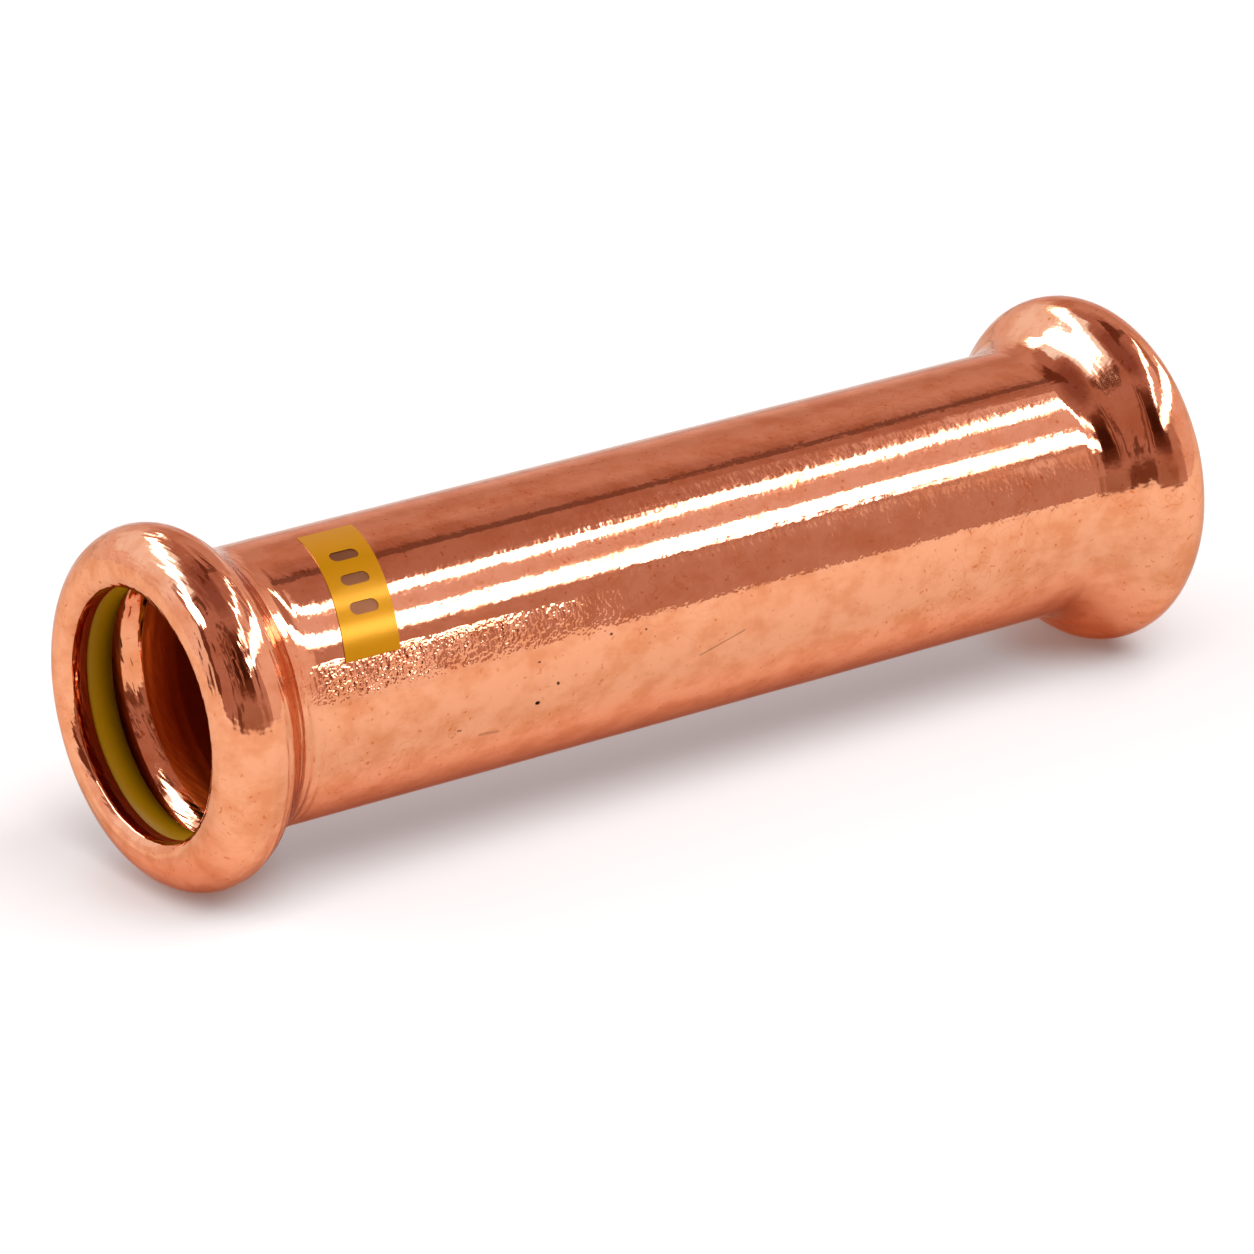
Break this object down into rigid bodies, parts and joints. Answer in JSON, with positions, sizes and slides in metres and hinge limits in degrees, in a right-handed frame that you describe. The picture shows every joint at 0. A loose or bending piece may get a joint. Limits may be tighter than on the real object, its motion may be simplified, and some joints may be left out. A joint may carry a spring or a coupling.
{
  "type": "press slip coupling",
  "caption": "Open-bored copper press fitting: a straight sleeve with a rolled bead at each end that holds a seal ring, and a colour mark.",
  "frame": {"origin": "on the axis, in the plane of the lower end's face, on which the coupling stands", "axes": "+Z along the bore, from the lower end to the upper end; the ink mark is near the lower end, on the side that faces -X and -Y"},
  "size_m": [0.022, 0.022, 0.0725],
  "materials": {
    "copper": "bright drawn copper, lightly scuffed",
    "seal_rubber": "smooth ochre yellow rubber",
    "yellow_ink": "thin printed ink, semi-gloss"
  },
  "bodies": {
    "root": {"coupling_body": "copper", "lower_seal_ring": "seal_rubber", "upper_seal_ring": "seal_rubber", "yellow_mark": "yellow_ink"}
  },
  "joints": []
}
